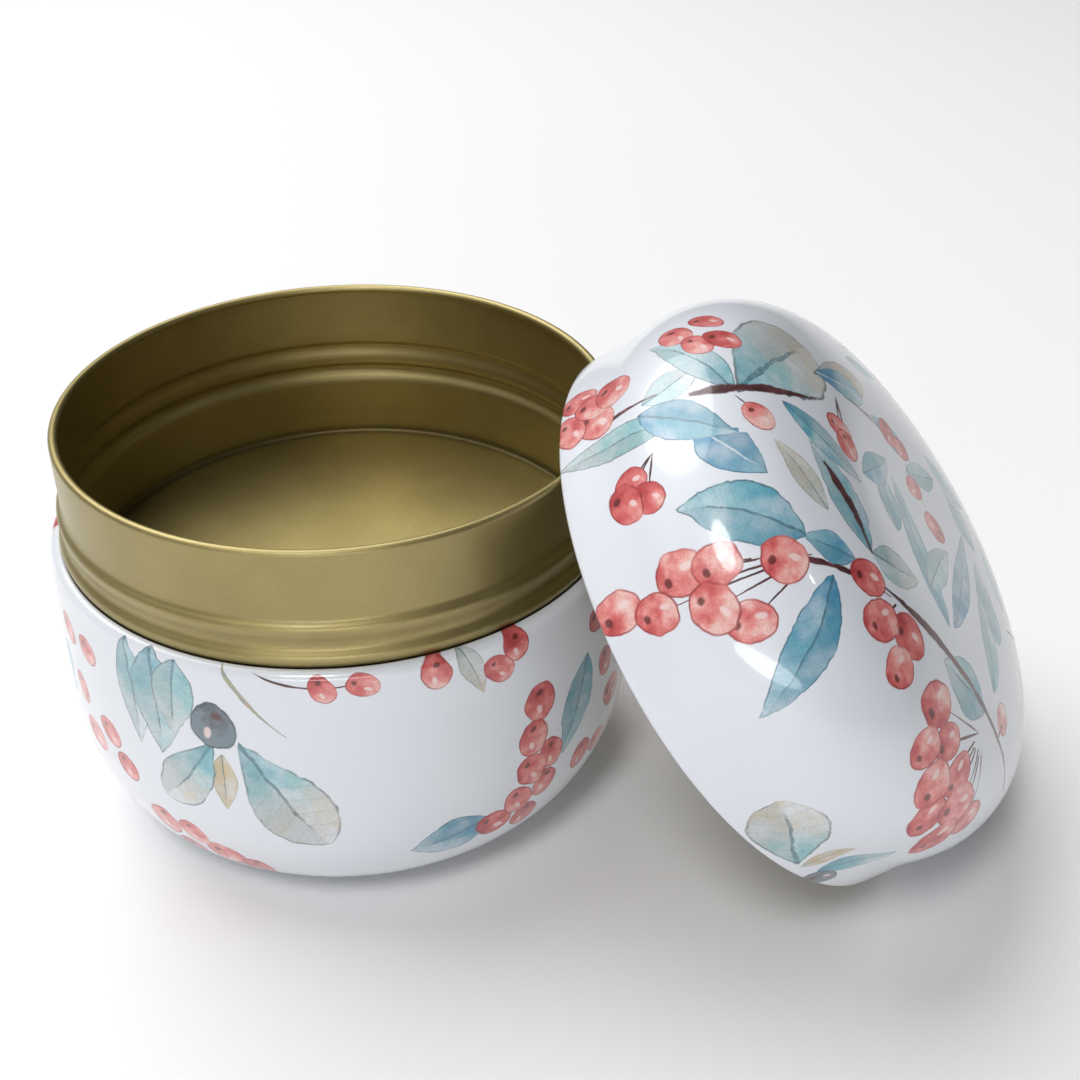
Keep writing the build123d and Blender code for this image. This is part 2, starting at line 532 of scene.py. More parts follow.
def follow(places, line, sides):
    """Share along a middle line, sideways distance and whole distance from it, for every place.

    Each place is dropped onto every piece of the line, carried on a little at both ends, and the
    nearest piece counts. The share is 0 at the line's start and 1 at its end.
    """
    before = line[0] - (line[1] - line[0]) * RUN_ON
    beyond = line[-1] + (line[-1] - line[-2]) * RUN_ON
    line = np.vstack([before, line, beyond])
    sides = np.vstack([sides[:1], sides, sides[-1:]])
    gaps = np.diff(line, axis=0)
    share = np.einsum("pkx,kx->pk", places[:, None] - line[:-1], gaps) / np.sum(gaps**2, axis=1)
    share = np.clip(share, 0, 1)
    feet = line[:-1] + share[..., None] * gaps
    distance = np.linalg.norm(places[:, None] - feet, axis=2)
    best = np.argmin(distance, axis=1)
    row = np.arange(len(places))
    steps = np.linalg.norm(gaps, axis=1)
    length = np.r_[0, np.cumsum(steps)]
    along = (length[best] + share[row, best] * steps[best] - length[1]) / (length[-2] - length[1])
    sideways = np.sum((places - feet[row, best]) * sides[best], axis=1)
    return along, sideways, distance[row, best]


test_line = np.array([[0.0, 0, 0], [4, 0, 0], [8, 0, 0]])
test_sides = np.array([[0.0, 1, 0]] * 3)
print("share, sideways, distance:", *follow(np.array([[6.0, -1, 0]]), test_line, test_sides))

# %% Lay a stroke down
LAYERS = {"leaf": 6, "twig": 3, "berry": 4}
SLACK = 2                           # mm past a stroke's reach within which points are tried


def lay_down(shell, kind, faces, chart):
    """Stores a stroke's chart on the first layer of its kind that is free on all its faces.

    Where no layer is free all over, the stroke goes under the others of the emptiest layer.
    """
    outer = shell.quads[:shell.outer_quads]
    free = []
    for layer in range(LAYERS[kind]):
        corners = shell.charts.setdefault((kind, layer), np.full((shell.outer_quads, 4, 3), FAR_OFF))
        free.append(faces[corners[faces, 0, 0] == FAR_OFF])
        if len(free[-1]) == len(faces):
            break
    best = int(np.argmax([len(open_faces) for open_faces in free]))
    shell.charts[kind, best][free[best]] = chart[outer[free[best]]]


def write_chart(shell, kind, line, sides, half_width, tone, margin=1.5):
    """Works out a stroke's chart on every face within its margin, in half widths, of its line."""
    outer = shell.quads[:shell.outer_quads]
    middle = line.mean(axis=0)
    reach = np.linalg.norm(line - middle, axis=1).max() + half_width * 2 + SLACK
    near = np.flatnonzero(np.linalg.norm(shell.places - middle, axis=1) < reach)
    along, across, gap = follow(shell.places[near], line, sides)
    chart = np.full((len(shell.places), 3), FAR_OFF)
    chart[near] = np.column_stack([along, across / half_width, np.full(len(near), tone)])
    touched = np.zeros(len(shell.places), bool)
    touched[near[gap < half_width * margin]] = True
    faces = np.flatnonzero(touched[outer].any(axis=1) & np.isin(outer, near).all(axis=1))
    lay_down(shell, kind, faces, chart)


print("layers:", LAYERS)

# %% The kinds of stroke
TWIG_MARGIN = 4
STALK_HALF, STALK_TONE, STALK_MARGIN = 0.2, 0.5, 5
BERRY_REACH = 0.62                  # of its size, how far a berry's faces go from its middle
PLAIN_TONES = 1.5                   # leaves with a tone above this are round, berries are slate
ROUND = 2.0                         # added to a leaf's tone, it makes the tip round
SLATE = 1.6                         # the tone of a slate berry
OCHRE = 0.8                         # twigs with a tone above this are ochre


def paint_leaf(shell, turn, depth, heading, length, width, bend, tone):
    """A leaf from its stalk to its tip. A tone from 0 to 1 goes from blue through sage to beige."""
    line, sides = walk(shell, start_at(shell, turn, depth), heading, length, bend)
    write_chart(shell, "leaf", line, sides, width / 2, tone)


def paint_twig(shell, turn, depth, heading, length, bend, width, tone=0.5):
    """A twig that thins towards its end, in brown or ochre."""
    line, sides = walk(shell, start_at(shell, turn, depth), heading, length, bend)
    write_chart(shell, "twig", line, sides, width / 2, tone, TWIG_MARGIN)


def paint_stalk(shell, start, end):
    """A hair-thin stalk straight over the skin from one (turn, depth) place to another."""
    ends = start_at(shell, *start), start_at(shell, *end)
    count = max(4, int(np.linalg.norm(ends[1] - ends[0]) / REACH))
    steps = [on_skin(shell, ends[0] + (ends[1] - ends[0]) * step / count) for step in range(count + 1)]
    line = np.array([step[0] for step in steps])
    normals = np.array([np.cross(step[2], step[1]) for step in steps])
    sides = np.cross(normals, np.gradient(line, axis=0))
    sides /= np.linalg.norm(sides, axis=1)[:, None]
    write_chart(shell, "twig", line, sides, STALK_HALF, STALK_TONE, STALK_MARGIN)


def paint_berry(shell, turn, depth, size, tone, heading=45, girth=0.86):
    """An oval berry: its chart counts in radii from its middle, and heading turns its bright side."""
    line, sides = walk(shell, start_at(shell, turn, depth), heading, size)
    way = (line[1] - line[0]) / np.linalg.norm(line[1] - line[0])
    arm = shell.places - line[0]
    near = np.linalg.norm(arm, axis=1) < size * BERRY_REACH
    radius = size / 2
    across = arm @ sides[0] / (radius * girth)
    chart = np.column_stack([arm @ way / radius, across, np.full(len(arm), tone)])
    faces = np.flatnonzero(near[shell.quads[:shell.outer_quads]].any(axis=1))
    lay_down(shell, "berry", faces, chart)


def bunch(shell, shift, size, seed, stem, pale, places):
    """Berries at the given places, each a little different, on stalks from their stem if it has one."""
    chance = np.random.default_rng(seed)
    for turn, depth in places:
        paint_berry(shell, turn + shift, depth, size * chance.uniform(0.92, 1.12),
                    chance.uniform(0.1, 0.9) + pale, chance.uniform(10, 100), chance.uniform(0.76, 0.92))
        if stem:
            paint_stalk(shell, (stem[0] + shift, stem[1]), (turn + shift, depth))


def paint_sprays(shell, shift, leaves, twigs, bunches):
    """Rows of leaves, twigs and bunches of berries, all turned by shift degrees."""
    for turn, *row in leaves:
        paint_leaf(shell, turn + shift, *row)
    for turn, *row in twigs:
        paint_twig(shell, turn + shift, *row)
    for row in bunches:
        bunch(shell, shift, *row)


print("half width of a stalk in mm:", STALK_HALF)

# %% [markdown]
# ## The lid's picture
#
# A long dark twig crosses the lid near its top and another swings over the crown. Berries hang in
# bunches at their ends, leaves stand off both sides, and a wide stretch of bare white is left
# between, because the bare enamel is what makes the print look light. The printed sheet repeats, so
# the lower sprays come again half a turn away.

# %% Sprays of the lid's crown
CROWN_LEAVES = [                    # turn, depth, heading, length, width, bend, tone
    (20, 26.7, 144, 23, 15, -8, 0.44 + ROUND), (-6, 38.5, 147, 15.4, 6.5, 0, 0.66 + ROUND),
    (-8, 38.5, 133, 12, 6, 0, 0.02 + ROUND), (18, 33.6, 62, 15.4, 5, 12, 0.30),
    (65, 40.9, 168, 16.5, 6.5, 14, 0.34), (50, 36.1, -165, 11.2, 4.4, 8, 0.80),
    (64, 52.2, 148, 11.6, 5.4, 0, 0.34), (114, 45.8, 112, 23.5, 5.6, -10, 0.28),
    (118, 46.4, 50, 26, 4.4, 16, 0.06), (160, 44, 30, 15, 5.5, 24, 0.38),
    (-165, 40, 20, 13, 4.6, 10, 0.30), (-100, 50, 60, 11, 5, 0, 0.45),
    (100, 50, 70, 15, 5, -14, 0.52), (30, 48, 120, 12, 5, 12, 0.25),
    (142, 38.5, 52, 17, 5, 14, 0.40), (132, 36.1, 150, 12, 8.4, 0, 0.36),
    (65, 40.9, 48, 11, 6, 12, 0.60), (-46, 37.3, 174, 9.8, 3.8, 0, 0.22),
    (-72, 53, -10, 10.4, 5, 10, 0.20), (166, 42.8, 35, 10, 4.6, 10, 0.34),
    (-122, 42.2, 42, 12, 5, -12, 0.30), (-145, 47, 16, 11, 5, 12, 0.45),
]
CROWN_TWIGS = [                     # turn, depth, heading, length, bend, width, tone
    (57, 25, 70, 19, -22, 1.1, 0.3), (72, 38.4, 34, 42, -26, 1.6, 0.3),
    (34, 38.8, 34, 13.6, -22, 2.4, 0.2),
]
CROWN_BUNCHES = [                   # size, seed, stem, how much paler, places
    (5.6, 7, (-6, 43), 0, [(12, 44.2), (19, 45.6)]),
    (5.0, 17, (-14, 44), 0, [(-46, 50.6), (-60, 52.4)]),
    (5.2, 18, (-60, 55), 0, [(-66, 59.0), (-150, 60.6)]),
    (6.8, 6, (82, 41), 0, [(70, 37.3), (80, 35.0), (90, 37.6), (91, 32.4)]),
    (5.4, 19, (138, 32), 0.4, [(145, 35)]),
]

paint_sprays(lid, 0, CROWN_LEAVES, CROWN_TWIGS, CROWN_BUNCHES)
print("crown:", len(CROWN_LEAVES), "leaves")

# %% Sprays of the lid's side
SIDE_LEAVES = [
    (20, 26.3, -152, 16, 6, 26, 0.40), (20, 14.4, 108, 9.5, 5.4, 34, 0.50),
    (27, 19, -104, 19.5, 5, 18, 0.48), (22, 13.6, 60, 14, 6.4, 10, 0.14),
    (28, 20.6, 40, 11.5, 7, 18, 0.02), (64, 36.7, -131, 8.6, 4.6, 0, 0.12),
    (55, 30.4, -136, 17, 8.4, 26, 0.24), (64, 31.5, -44, 21, 6.2, -20, 0.10),
    (113, 2.5, 150, 14, 11, 10, 0.50 + ROUND), (114, 2.5, 84, 8, 2.6, 0, 0.98),
    (118, 3, 66, 11, 4.5, 14, 0.30),
]
SIDE_TWIGS = [(18, 1, 84, 16, 8, 1.1), (21, 20.5, 100, 21, 14, 2.2, 0.2)]
SIDE_BUNCHES = [
    (5.4, 1, None, 0, [(2, 18.6), (-4, 22.1), (3, 25.0), (6, 21.8)]),
    (5.2, 8, (21, 26.5), 0.4, [(26, 29.4)]),
    (6.8, 2, None, 0.2, [(8, 3.4), (16, 2.6), (12, 6.0), (11, 9.4), (17, 6.6)]),
    (6.0, 3, (31, 15), 0, [(34.5, 11.0), (38.5, 13.0), (37.5, 9.6)]),
    (6.8, 4, (59, 30), 0.45, [(54, 3.6), (57, 8.6), (53, 13.4), (54, 18.2), (60.5, 15.6), (65, 18.9),
                              (58, 26.0)]),
    (7.2, 5, (127, 33), 0, [(106, 33), (113, 29.6), (107, 27), (114, 24), (120, 26.6), (119, 20),
                            (125, 23), (127, 17.6), (131, 21.5)]),
]

for shift in (0, 180):
    paint_sprays(lid, shift, SIDE_LEAVES, SIDE_TWIGS, SIDE_BUNCHES)
    paint_berry(lid, 121 + shift, 2.2, 5.2, SLATE)
print("lid layers", sorted(lid.charts))

# %% [markdown]
# ## The base's picture
#
# On the base the pattern runs over the rolled rim, as print does when a sheet is printed flat and
# drawn afterwards. Pale teal leaves hang from the rim, a slate berry sits among round leaves, and a
# string of berries falls to the shoulder. It comes three times in a full turn.

# %% Sprays of the base
BOWL_LEAVES = [
    (-127, 0.5, 84, 18, 6, 10, 0.42), (-121, 0.5, 84, 18, 9, 14, 0.38),
    (-115, 1.0, 100, 13, 7, -10, 0.48), (-109, 13, 118, 16, 8, 16, 0.40 + ROUND),
    (-107.5, 15, 92, 10, 4, 0, 0.97), (-104, 12, 62, 21, 11.5, -8, 0.42 + ROUND),
    (-59, 31, 160, 12, 8, 10, 0.12), (-63.5, -0.5, 80, 10, 3.4, 12, 0.75),
    (-33, 12, 108, 16, 7, 14, 0.25),
]
BOWL_TWIGS = [(-106, -0.5, 84, 15, -26, 0.9, 0.9), (-100, 0.8, 24, 16, -44, 0.5)]
BOWL_BUNCHES = [
    (5.0, 11, None, 0, [(-88, 3.0), (-81, 2.7)]),
    (5.8, 12, None, 0, [(-140, 8), (-146, 17), (-143, 24), (-132, 25), (-136, 20.5)]),
    (6.4, 13, None, 0, [(-125, 33), (-118, 33), (-112, 37), (-106, 39), (-121, 39)]),
    (6.2, 14, None, 0, [(-47, 14.2), (-49, 20), (-44.5, 24.5), (-49.5, 25.6), (-46, 29.6),
                        (-52.5, 30.4), (-57.5, 33.2), (-50, 35)]),
    (5.2, 15, None, 0, [(-56, 5.4), (-52, 2.8), (-68, 2.9)]),
    (5.6, 16, None, 0, [(-29, 8), (-35, 30), (-28, 31)]),
]

for shift in (0, 120, 240):
    paint_berry(bowl, -108.5 + shift, 10.5, 8.2, SLATE + 0.1, 100)
    paint_sprays(bowl, shift, BOWL_LEAVES, BOWL_TWIGS, BOWL_BUNCHES)
print("base layers", sorted(bowl.charts))

# %% [markdown]
# ## Shorthand for node trees
#
# A painted leaf is a few dozen small sums. Typed out node by node they hide their own meaning, so a
# helper adds one node for each sum and returns its socket. The sums then read like a formula.

# %% The sums
class Sums:
    """Adds small nodes to a tree. Arguments may be sockets or plain numbers."""

    def __init__(self, tree):
        self.tree = tree

    def feed(self, socket, value):
        """Links a socket to a value that varies, or sets it to one that doesn't."""
        if isinstance(value, bpy.types.NodeSocket):
            self.tree.links.new(value, socket)
        else:
            socket.default_value = value

    def sum(self, operation, *values):
        """One Math node, such as MULTIPLY or POWER."""
        node = self.tree.nodes.new("ShaderNodeMath")
        node.operation = operation
        for socket, value in zip(node.inputs, values):
            self.feed(socket, value)
        return node.outputs[0]

    def plus(self, first, second):
        """Both added up."""
        return self.sum("ADD", first, second)

    def minus(self, first, second):
        """The first less the second."""
        return self.sum("SUBTRACT", first, second)

    def times(self, first, second):
        """Both multiplied."""
        return self.sum("MULTIPLY", first, second)

    def scaled(self, value, factor, more):
        """A value times a factor, plus something more."""
        return self.sum("MULTIPLY_ADD", value, factor, more)

    def squares(self, first, second):
        """The squares of both, added up."""
        return self.plus(self.times(first, first), self.times(second, second))

    def ease(self, value, low, high, start=0.0, end=1.0):
        """Goes smoothly from start to end as value goes from low to high."""
        node = self.tree.nodes.new("ShaderNodeMapRange")
        node.interpolation_type = "SMOOTHSTEP"
        names = ("Value", "From Min", "From Max", "To Min", "To Max")
        for name, given in zip(names, (value, low, high, start, end)):
            self.feed(node.inputs[name], given)
        return node.outputs["Result"]

    def blend(self, share, under, over):
        """A colour between two."""
        node = self.tree.nodes.new("ShaderNodeMix")
        node.data_type = "RGBA"
        for socket, value in ((node.inputs[0], share), (node.inputs[6], under), (node.inputs[7], over)):
            self.feed(socket, value)
        return node.outputs[2]

    def noise(self, place, scale, detail=2.0, shift=0.0):
        """Soft noise between 0 and 1, with the scale in features per metre."""
        node = self.tree.nodes.new("ShaderNodeTexNoise")
        node.noise_dimensions = "4D"
        self.feed(node.inputs["Vector"], place)
        node.inputs["W"].default_value = shift
        node.inputs["Scale"].default_value = scale
        node.inputs["Detail"].default_value = detail
        return node.outputs["Fac"]

    def split(self, vector):
        """The three numbers of a vector."""
        node = self.tree.nodes.new("ShaderNodeSeparateXYZ")
        self.feed(node.inputs[0], vector)
        return node.outputs

    def tones(self, value, stops):
        """A colour from a row of (place, colour) stops."""
        node = self.tree.nodes.new("ShaderNodeValToRGB")
        ramp = node.color_ramp
        while len(ramp.elements) < len(stops):
            ramp.elements.new(0.5)
        for element, (place, colour) in zip(ramp.elements, stops):
            element.position = place
            element.color = (*colour, 1)
        self.feed(node.inputs[0], value)
        return node.outputs[0]


def new_group(name, inputs, outputs):
    """An empty node group with named sockets, its input node and its output node."""
    group = bpy.data.node_groups.new(name, "ShaderNodeTree")
    for way, sockets in (("INPUT", inputs), ("OUTPUT", outputs)):
        for label, kind in sockets:
            group.interface.new_socket(label, in_out=way, socket_type="NodeSocket" + kind)
    return group, group.nodes.new("NodeGroupInput").outputs, group.nodes.new("NodeGroupOutput").inputs


# %% [markdown]
# ## What makes it watercolour
#
# Wet paint never lies even. Five soft noises do all of it: a slow wander that bends lines, a quick
# shiver that roughens them, washes that pool and thin out, wide bare patches, and the grain of the
# pigment. They are worked out once and shared by every stroke, so that a shape and its colour move
# together and the render stays quick.

# %% Mix the water
WATER = ("Wander", "Shiver", "Wash", "Patch", "Grain")


def water_group():
    """The five noises at a place: wander and shiver about zero, the others from 0 to 1."""
    outputs = [(name, "Float") for name in WATER]
    group, given, made = new_group("paint_water", [("Place", "Vector")], outputs)
    s = Sums(group)
    s.feed(made["Wander"], s.minus(s.noise(given["Place"], 300, 2), 0.5))
    s.feed(made["Shiver"], s.minus(s.noise(given["Place"], 1100, 3, 7), 0.5))
    s.feed(made["Wash"], s.noise(given["Place"], 430, 3, 3))
    s.feed(made["Patch"], s.noise(given["Place"], 210, 2, 5))
    s.feed(made["Grain"], s.ease(s.noise(given["Place"], 3200, 2, 9), 0.36, 0.66))
    return group


def stroke_group(name):
    """A new group for one kind of stroke, its inputs, its output, its sums and its split chart."""
    inputs = [("Under", "Color"), ("Chart", "Vector")] + [(noise, "Float") for noise in WATER]
    group, given, made = new_group(name, inputs, [("Colour", "Color")])
    s = Sums(group)
    return group, given, made, s, s.split(given["Chart"])


WATER_GROUP = water_group()
print("water:", ", ".join(WATER))

# %% [markdown]
# ## A painted leaf
#
# Each leaf is one loaded brush stroke. The wash is stronger at the stalk and runs out into sage or
# beige, pigment gathers in a thin darker line at the edge, and a fine rib is drawn down the middle.
# The width along the leaf is a power of a sine, which gives a pointed leaf or, with other powers, a
# round one. Small noise bends every line so that none is ruled.

# %% Mix the leaf
LEAF_TONES = [(0.0, (0.07, 0.28, 0.45)), (0.28, (0.14, 0.40, 0.49)), (0.5, (0.32, 0.55, 0.57)),
              (0.72, (0.52, 0.56, 0.54)), (0.9, (0.60, 0.55, 0.46)), (1.0, (0.60, 0.47, 0.27))]
LEAF_SHADES = [(0.0, (0.04, 0.20, 0.32)), (1.0, (0.42, 0.36, 0.25))]
LEAF_EDGES = [(0.0, (0.03, 0.14, 0.22)), (1.0, (0.25, 0.18, 0.10))]
INK = (0.05, 0.12, 0.16, 1)
BARE = (0.72, 0.75, 0.805, 1)       # the white of the enamel
ONE_WAVE = 6.28
VEINS = 8.0                         # side veins along a leaf


def leaf_group():
    """Paints one layer of leaves over the colour under it."""
    group, given, made, s, (along, across, tone) = stroke_group("painted_leaf")
    wander, shiver = given["Wander"], given["Shiver"]
    round_tip = s.sum("GREATER_THAN", tone, PLAIN_TONES)
    tone = s.minus(tone, s.times(round_tip, ROUND))
    along_leaf = s.scaled(wander, 0.06, along)
    rough = s.times(shiver, s.scaled(round_tip, -0.08, 0.13))
    calm = s.scaled(wander, 0.28, across)
    side = s.plus(rough, calm)

    # width along the leaf: sin(pi * inside**early) ** full, with other powers for a round tip
    inside = s.sum("MINIMUM", s.sum("MAXIMUM", along_leaf, 0.0), 1.0)
    early = s.scaled(round_tip, 0.75, 0.85)
    full = s.scaled(round_tip, -0.35, 0.95)
    swell = s.sum("SINE", s.times(s.sum("POWER", inside, early), np.pi))
    width = s.sum("POWER", s.sum("MAXIMUM", swell, 0.0), full)
    depth = s.minus(width, s.sum("ABSOLUTE", side))
    shape = s.ease(depth, 0.0, 0.04)

    # the wash: nearer to beige towards the tip, wandering with the water, and pale where it ran thin
    tone_here = s.scaled(s.minus(along, 0.35), 0.30, tone)
    tone_here = s.plus(tone_here, s.times(s.minus(given["Wash"], 0.5), 0.55))
    tone_here = s.scaled(s.times(round_tip, s.ease(along, 0.3, 0.75)), 0.30, tone_here)
    colour = s.tones(tone_here, LEAF_TONES)
    pale = s.plus(s.ease(given["Patch"], 0.40, 0.65, 0.0, 0.50), s.ease(along, 0.3, 1.0, 0.0, 0.30))
    colour = s.blend(pale, colour, BARE)
    half_dark = s.times(s.ease(side, 0.0, 0.06), 0.28)
    colour = s.blend(half_dark, colour, s.tones(tone, LEAF_SHADES))
    colour = s.blend(s.times(given["Grain"], 0.16), colour, INK)

    # faint side veins that slant to the tip, the rib down the middle and the pigment at the edge
    vein = s.sum("SINE", s.times(s.minus(s.times(along, VEINS), s.sum("ABSOLUTE", side)), ONE_WAVE))
    colour = s.blend(s.ease(vein, 0.94, 1.0, 0.0, 0.16), colour, INK)
    thin = s.scaled(along, -0.03, 0.06)
    rib = s.sum("LESS_THAN", s.sum("ABSOLUTE", s.scaled(shiver, 0.05, calm)), thin)
    rib = s.times(rib, s.ease(along, 0.7, 0.9, 1.0, 0.0))
    rib_ink = s.blend(s.sum("LESS_THAN", tone, 0.05), INK, BARE)
    colour = s.blend(s.times(rib, s.ease(shiver, -0.3, 0.1, 0.25, 0.75)), colour, rib_ink)
    edge = s.times(s.ease(depth, 0.045, 0.11, 1.0, 0.0), s.ease(wander, -0.13, 0.08, 0.2, 0.9))
    colour = s.blend(edge, colour, s.tones(tone, LEAF_EDGES))
    s.feed(made["Colour"], s.blend(shape, given["Under"], colour))
    return group


LEAF = leaf_group()
print("leaf sums:", len(LEAF.nodes))

# %% [markdown]
# ## A painted berry
#
# A berry is an oval wash of warm red, mottled as it dried, with a pale spot where the brush left
# the white bare, a broken darker outline, and the small dark star where the flower was. Each part
# is a distance from a point of the chart, so no berry needs a shape of its own.

# %% Mix the berry
REDS = [(0.0, (0.42, 0.05, 0.055)), (0.4, (0.62, 0.13, 0.13)), (0.7, (0.76, 0.29, 0.27)),
        (1.0, (0.83, 0.54, 0.50))]
SLATES = [(0.3, (0.02, 0.045, 0.06)), (1.0, (0.14, 0.22, 0.26))]
BERRY_GRAIN, BERRY_SPOT, BERRY_STAR = (0.30, 0.03, 0.03, 1), (0.80, 0.62, 0.60, 1), (0.10, 0.02, 0.02, 1)
BERRY_EDGE, SLATE_EDGE = (0.30, 0.03, 0.035, 1), (0.03, 0.05, 0.07, 1)


def berry_group():
    """Paints one layer of berries over the colour under it."""
    group, given, made, s, (along, across, tone) = stroke_group("painted_berry")
    wander, washed = given["Wander"], given["Wash"]

    # where there is no berry the chart's tone is far off, well above 3
    slate = s.times(s.sum("GREATER_THAN", tone, PLAIN_TONES), s.sum("LESS_THAN", tone, 3.0))
    radius = s.sum("SQRT", s.squares(along, across))
    radius = s.scaled(wander, 0.45, radius)
    shape = s.ease(radius, 0.90, 0.97, 1.0, 0.0)
    light = s.scaled(along, 0.30, s.times(tone, 0.35))
    light = s.plus(light, s.scaled(s.minus(washed, 0.5), 1.9, 0.30))
    colour = s.blend(slate, s.tones(light, REDS), s.tones(light, SLATES))
    colour = s.blend(s.times(given["Grain"], 0.20), colour, BERRY_GRAIN)
    spot_x = s.minus(along, 0.34)
    spot_y = s.times(s.minus(across, 0.20), 1.5)
    spot = s.scaled(wander, 0.10, s.squares(spot_x, spot_y))
    colour = s.blend(s.ease(spot, 0.015, 0.075, 0.85, 0.0), colour, BERRY_SPOT)
    star_x = s.plus(along, 0.48)
    star_y = s.times(s.plus(across, 0.10), 0.7)
    star = s.scaled(s.minus(washed, 0.5), 0.05, s.squares(star_x, star_y))
    colour = s.blend(s.ease(star, 0.008, 0.030, 0.85, 0.0), colour, BERRY_STAR)
    edge = s.times(s.ease(radius, 0.83, 0.90), s.ease(wander, -0.12, 0.08, 0.40, 0.95))
    colour = s.blend(edge, colour, s.blend(slate, BERRY_EDGE, SLATE_EDGE))
    s.feed(made["Colour"], s.blend(shape, given["Under"], colour))
    return group


BERRY = berry_group()
print("berry sums:", len(BERRY.nodes))

# %% [markdown]
# ## A painted twig
#
# Twigs are drawn over the leaves and under the berries, with the tip of the brush. The line is
# thick where the brush is pressed and thins out, and its brown is broken by a reddish wash.

# %% Mix the twig
BROWNS = [(0.3, (0.03, 0.012, 0.014)), (0.6, (0.12, 0.04, 0.045)), (0.8, (0.30, 0.10, 0.10))]
OCHRES = [(0.3, (0.10, 0.30, 0.34)), (0.7, (0.55, 0.38, 0.20))]


def twig_group():
    """Paints one layer of twigs over the colour under it."""
    group, given, made, s, (along, across, tone) = stroke_group("painted_twig")
    side = s.scaled(given["Shiver"], 0.6, across)
    ends = s.times(s.ease(along, 0.0, 0.02), s.ease(along, 0.97, 1.0, 1.0, 0.0))
    taper = s.times(s.ease(along, -0.05, 0.3, 0.35, 1.0), s.ease(along, 0.3, 1.0, 1.0, 0.4))
    width = s.times(taper, s.ease(given["Patch"], 0.35, 0.6, 0.7, 1.1))
    shape = s.times(s.ease(s.minus(width, s.sum("ABSOLUTE", side)), 0.0, 0.35), ends)
    brown, ochre = s.tones(given["Wash"], BROWNS), s.tones(given["Wash"], OCHRES)
    colour = s.blend(s.sum("GREATER_THAN", tone, OCHRE), brown, ochre)
    s.feed(made["Colour"], s.blend(shape, given["Under"], colour))
    return group


TWIG = twig_group()
print("twig sums:", len(TWIG.nodes))

# %% [markdown]
# ## Grain of a baked finish
#
# Enamel and lacquer are rolled on flat sheet and baked. Both have a faint skin like the peel of an
# orange and a finer grain, and both pick up a little haze from handling. One group makes the height
# of that skin and the haze, and each finish takes as much of them as it shows.

# %% The baked skin
def skin_group():
    """Height of the finish, and haze that dulls its gloss, both between 0 and 1."""
    inputs = [("Place", "Vector"), ("Along", "Float"), ("Rings", "Float")]
    group, given, made = new_group("baked_skin", inputs, [("Height", "Float"), ("Haze", "Float")])
    s = Sums(group)
    peel = s.noise(given["Place"], 700, 2, 2)
    grain = s.noise(given["Place"], 5200, 2, 3)
    draw_lines = group.nodes.new("ShaderNodeTexNoise")
    draw_lines.noise_dimensions = "1D"
    draw_lines.inputs["Scale"].default_value = 1.6
    draw_lines.inputs["Detail"].default_value = 4
    s.feed(draw_lines.inputs["W"], given["Along"])
    rings = s.times(draw_lines.outputs["Fac"], given["Rings"])
    height = s.plus(s.times(peel, 0.45), s.times(grain, 0.35))
    s.feed(made["Height"], s.scaled(rings, 0.20, height))
    s.feed(made["Haze"], s.scaled(rings, 0.4, s.noise(given["Place"], 45, 4, 1)))
    return group


SKIN = skin_group()
print("skin nodes:", len(SKIN.nodes))

# %% Start a finish
SKIN_DEPTH = 0.12 * MM              # height of the peel and grain at their full strength


def place_group(tree, group, **values):
    """Adds a group to a material and feeds its inputs."""
    node = tree.nodes.new("ShaderNodeGroup")
    node.node_tree = group
    for name, value in values.items():
        Sums(tree).feed(node.inputs[name], value)
    return node.outputs


def read_attribute(tree, name):
    """The outputs of an Attribute node for a mesh's own named attribute."""
    node = tree.nodes.new("ShaderNodeAttribute")
    node.attribute_name = name
    return node.outputs


def bare_material(name, rings):
    """A material with its shader, its sums and the skin's outputs, with rings of the draw from 0 to 1."""
    material = bpy.data.materials.new(name)
    material.use_nodes = True
    tree = material.node_tree
    place = tree.nodes.new("ShaderNodeTexCoord").outputs["Object"]
    skin = place_group(tree, SKIN, Place=place, Along=read_attribute(tree, "along")["Fac"], Rings=rings)
    return material, tree.nodes["Principled BSDF"], Sums(tree), place, skin


def bump(s, height, strength):
    """Normals of a surface whose height varies."""
    node = s.tree.nodes.new("ShaderNodeBump")
    node.inputs["Strength"].default_value = strength
    node.inputs["Distance"].default_value = SKIN_DEPTH
    s.feed(node.inputs["Height"], height)
    return node.outputs["Normal"]


# %% [markdown]
# ## Printed enamel
#
# The outside is white enamel under the print, with a clear varnish over both. The print lies in the
# white, so it changes only the colour. The varnish is a coat on the shader, and its gloss is broken
# a little by the skin and the haze.

# %% Make the enamel
BARE_CLOUD = (0.70, 0.725, 0.775, 1)
ENAMEL_ROUGHNESS, ENAMEL_HAZE, ENAMEL_PEEL = 0.24, 0.16, 0.10
VARNISH, VARNISH_ROUGHNESS = 0.7, 0.07


